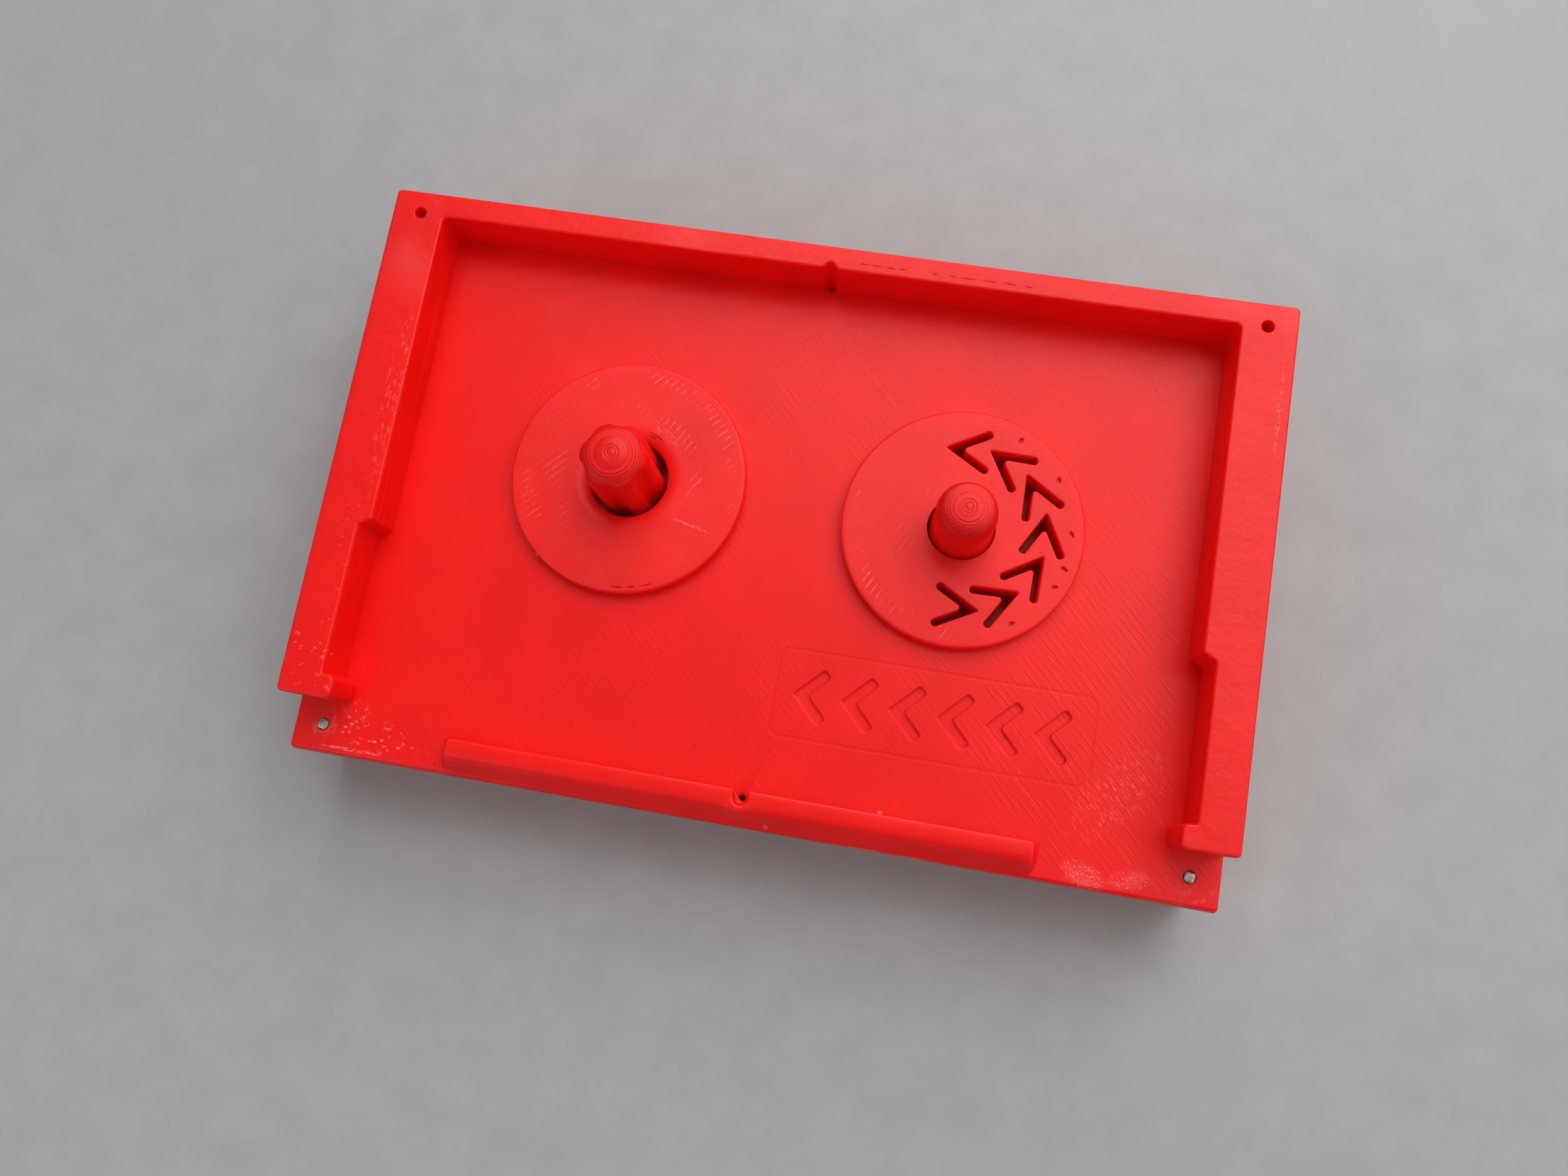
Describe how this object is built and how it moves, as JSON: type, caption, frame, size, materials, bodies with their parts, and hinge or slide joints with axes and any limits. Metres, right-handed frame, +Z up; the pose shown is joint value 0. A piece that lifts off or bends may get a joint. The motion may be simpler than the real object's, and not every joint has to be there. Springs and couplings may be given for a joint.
{
  "type": "cassette tape winder",
  "caption": "Low printed tray on a gear case: a lobed spindle and a plain post hold the cassette's hubs, and a finger crank underneath winds the tape back.",
  "frame": {"origin": "middle of the gear case's flat underside, on the table", "axes": "+X along the cassette towards the plain post, +Y from the open front rail to the back wall, +Z up along both spindles"},
  "size_m": [0.1144, 0.0726, 0.0286],
  "materials": {
    "tray_plastic": "printed, satin, fine diagonal raster lines",
    "case_plastic": "printed, satin, horizontal layer lines",
    "spindle_plastic": "printed, satin, layer rings",
    "gear_plastic": "printed, satin",
    "dial_plastic": "printed, satin, layer rings",
    "nail_steel": "bright wire, snipped tips",
    "fixing_steel": "zinc plated, satin"
  },
  "bodies": {
    "case": {"gear_case": "case_plastic", "tray": "tray_plastic", "nail_back_left": "nail_steel", "nail_back_right": "nail_steel", "nail_front_left": "nail_steel", "nail_front_right": "nail_steel"},
    "drive": {"drive_gear": "gear_plastic", "drive_post": "spindle_plastic", "crank_dial": "dial_plastic", "dial_screw": "fixing_steel", "knob_pin": "fixing_steel"},
    "winder": {"pinion_gear": "gear_plastic", "winding_spindle": "spindle_plastic"},
    "knob": {"crank_knob": "dial_plastic"}
  },
  "joints": [
    {"name": "crank_spin", "type": "hinge", "parent": "case", "child": "drive", "pos_m": [0.02125, 0.0043, 0.0096], "axis": [0, 0, 1], "continuous": true},
    {"name": "spindle_spin", "type": "hinge", "parent": "case", "child": "winder", "pos_m": [-0.02125, 0.0043, 0.0096], "axis": [0, 0, 1], "continuous": true},
    {"name": "knob_spin", "type": "hinge", "parent": "drive", "child": "knob", "pos_m": [0.02125, 0.0173, 0.0028], "axis": [0, 0, 1], "continuous": true}
  ],
  "couplings": [
    {"joint": "spindle_spin", "follows": "crank_spin", "ratio": -1.8333}
  ]
}
